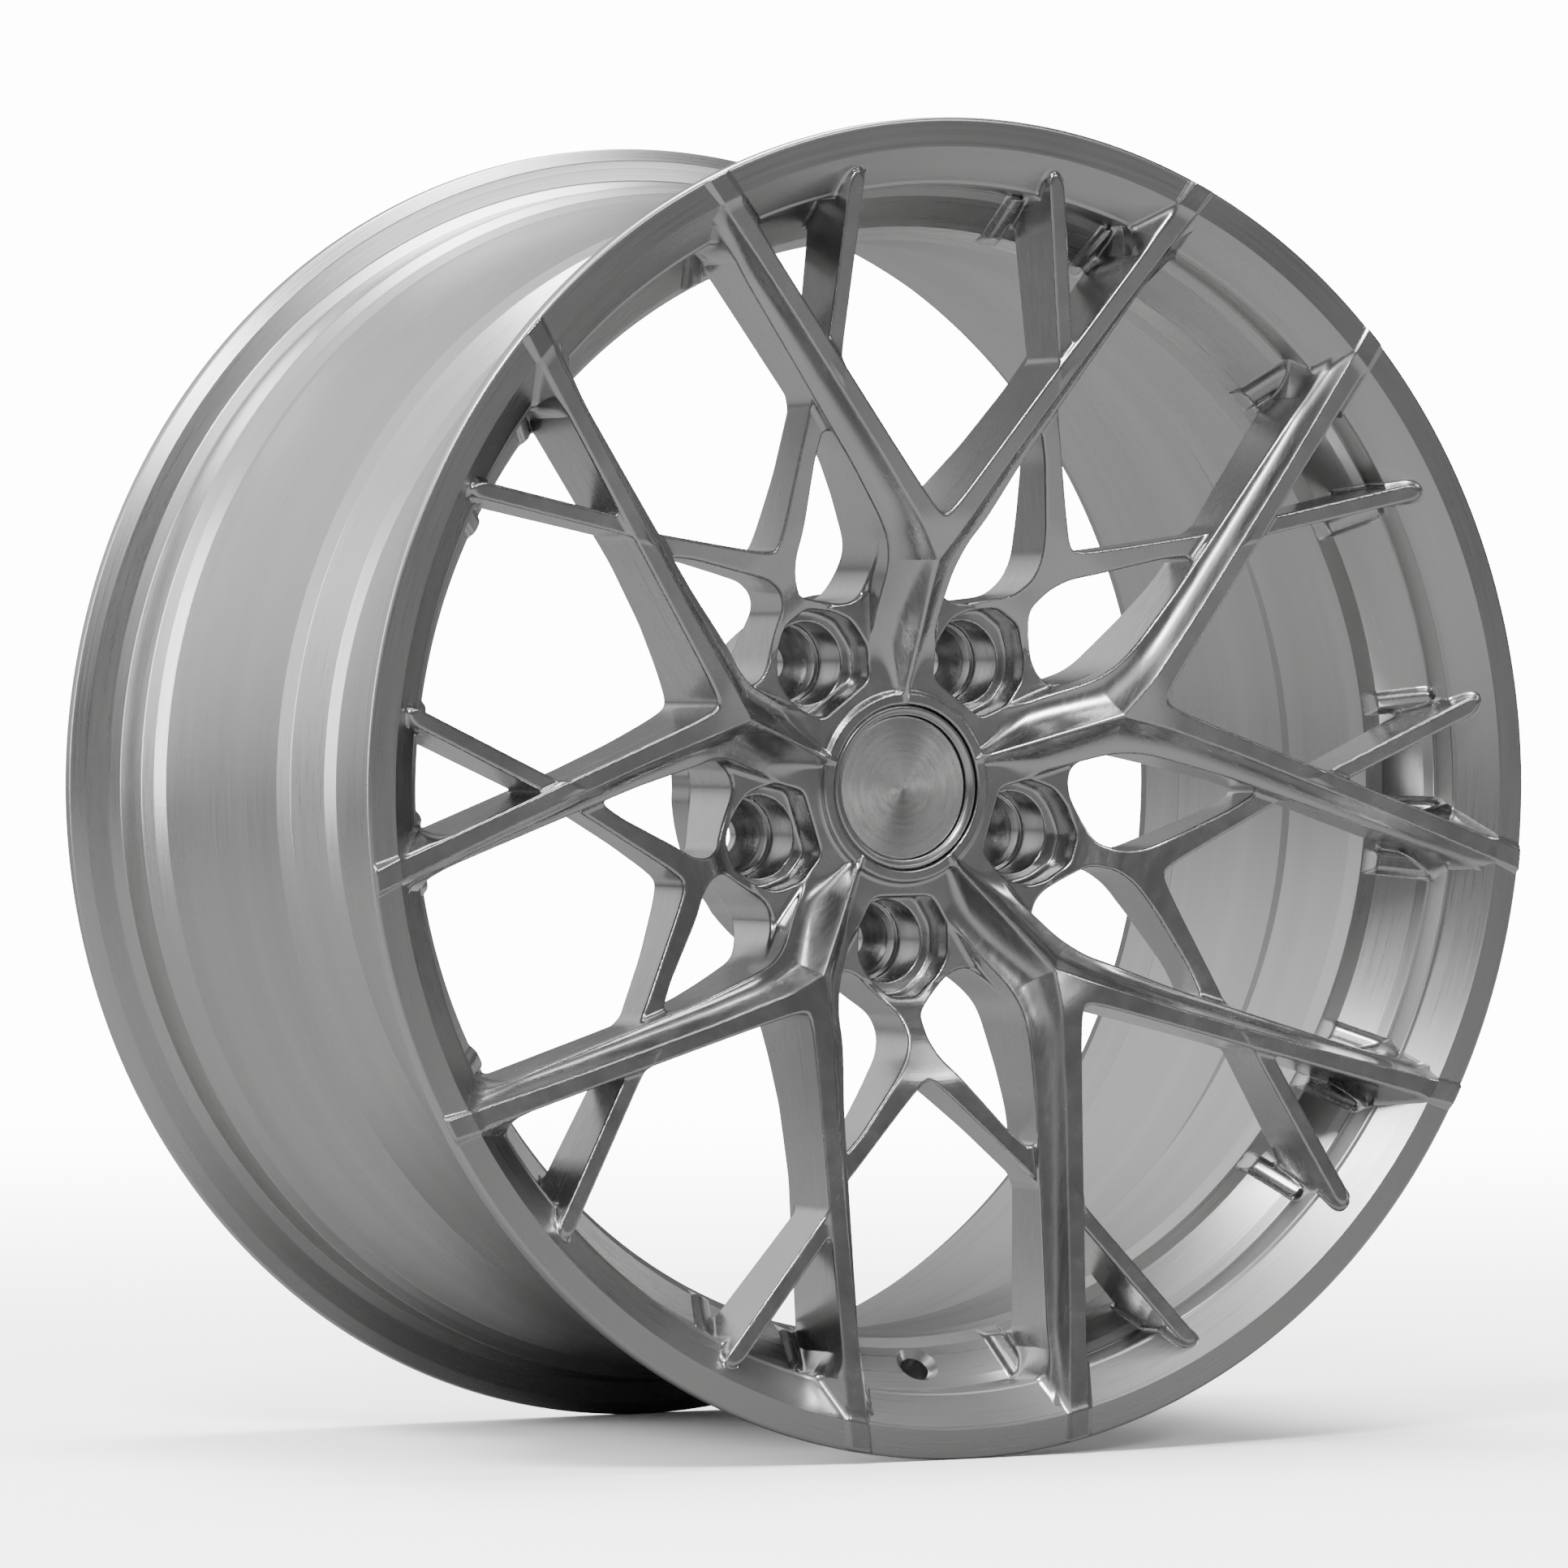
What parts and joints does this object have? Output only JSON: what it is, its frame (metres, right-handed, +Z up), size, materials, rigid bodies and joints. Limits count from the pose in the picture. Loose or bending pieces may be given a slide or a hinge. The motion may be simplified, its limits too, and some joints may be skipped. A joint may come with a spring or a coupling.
{
  "type": "wheel rim",
  "caption": "Forged racing wheel rim: deep one-piece barrel, forked Y spokes, smaller forked lug spokes between them, and a push-fit brushed centre cap.",
  "frame": {"origin": "centre of the bounding box: on the wheel axis, half way between the front lip face and the rear flange face", "axes": "+Y along the wheel axis towards the vehicle, so the outer face looks along -Y; +Z up; +X to the right seen from the front"},
  "size_m": [0.5154, 0.263, 0.5154],
  "materials": {
    "forged_aluminium": "satin brushed, bright on the spoke crests",
    "cap_satin": "turned satin",
    "cap_brushed": "spun brushed",
    "spring_steel": "drawn wire"
  },
  "bodies": {
    "wheel": {"rim_barrel": "forged_aluminium", "hub_centre": "forged_aluminium", "spoke_stem_1": "forged_aluminium", "spoke_stem_2": "forged_aluminium", "spoke_stem_3": "forged_aluminium", "spoke_stem_4": "forged_aluminium", "spoke_stem_5": "forged_aluminium", "spoke_arm_1a": "forged_aluminium", "spoke_arm_1b": "forged_aluminium", "spoke_arm_2a": "forged_aluminium", "spoke_arm_2b": "forged_aluminium", "spoke_arm_3a": "forged_aluminium", "spoke_arm_3b": "forged_aluminium", "spoke_arm_4a": "forged_aluminium", "spoke_arm_4b": "forged_aluminium", "spoke_arm_5a": "forged_aluminium", "spoke_arm_5b": "forged_aluminium", "fork_strut_1a": "forged_aluminium", "fork_strut_1b": "forged_aluminium", "fork_strut_2a": "forged_aluminium", "fork_strut_2b": "forged_aluminium", "fork_strut_3a": "forged_aluminium", "fork_strut_3b": "forged_aluminium", "fork_strut_4a": "forged_aluminium", "fork_strut_4b": "forged_aluminium", "fork_strut_5a": "forged_aluminium", "fork_strut_5b": "forged_aluminium", "lug_stem_1": "forged_aluminium", "lug_stem_2": "forged_aluminium", "lug_stem_3": "forged_aluminium", "lug_stem_4": "forged_aluminium", "lug_stem_5": "forged_aluminium", "lug_arm_1a": "forged_aluminium", "lug_arm_1b": "forged_aluminium", "lug_arm_2a": "forged_aluminium", "lug_arm_2b": "forged_aluminium", "lug_arm_3a": "forged_aluminium", "lug_arm_3b": "forged_aluminium", "lug_arm_4a": "forged_aluminium", "lug_arm_4b": "forged_aluminium", "lug_arm_5a": "forged_aluminium", "lug_arm_5b": "forged_aluminium"},
    "centre_cap": {"centre_cap_shell": "cap_satin", "centre_cap_disc": "cap_brushed", "cap_spring_ring": "spring_steel"}
  },
  "joints": [
    {"name": "centre_cap_pull", "type": "slide", "parent": "wheel", "child": "centre_cap", "axis": [0, -1, 0], "range_m": [0, 0.022]}
  ]
}
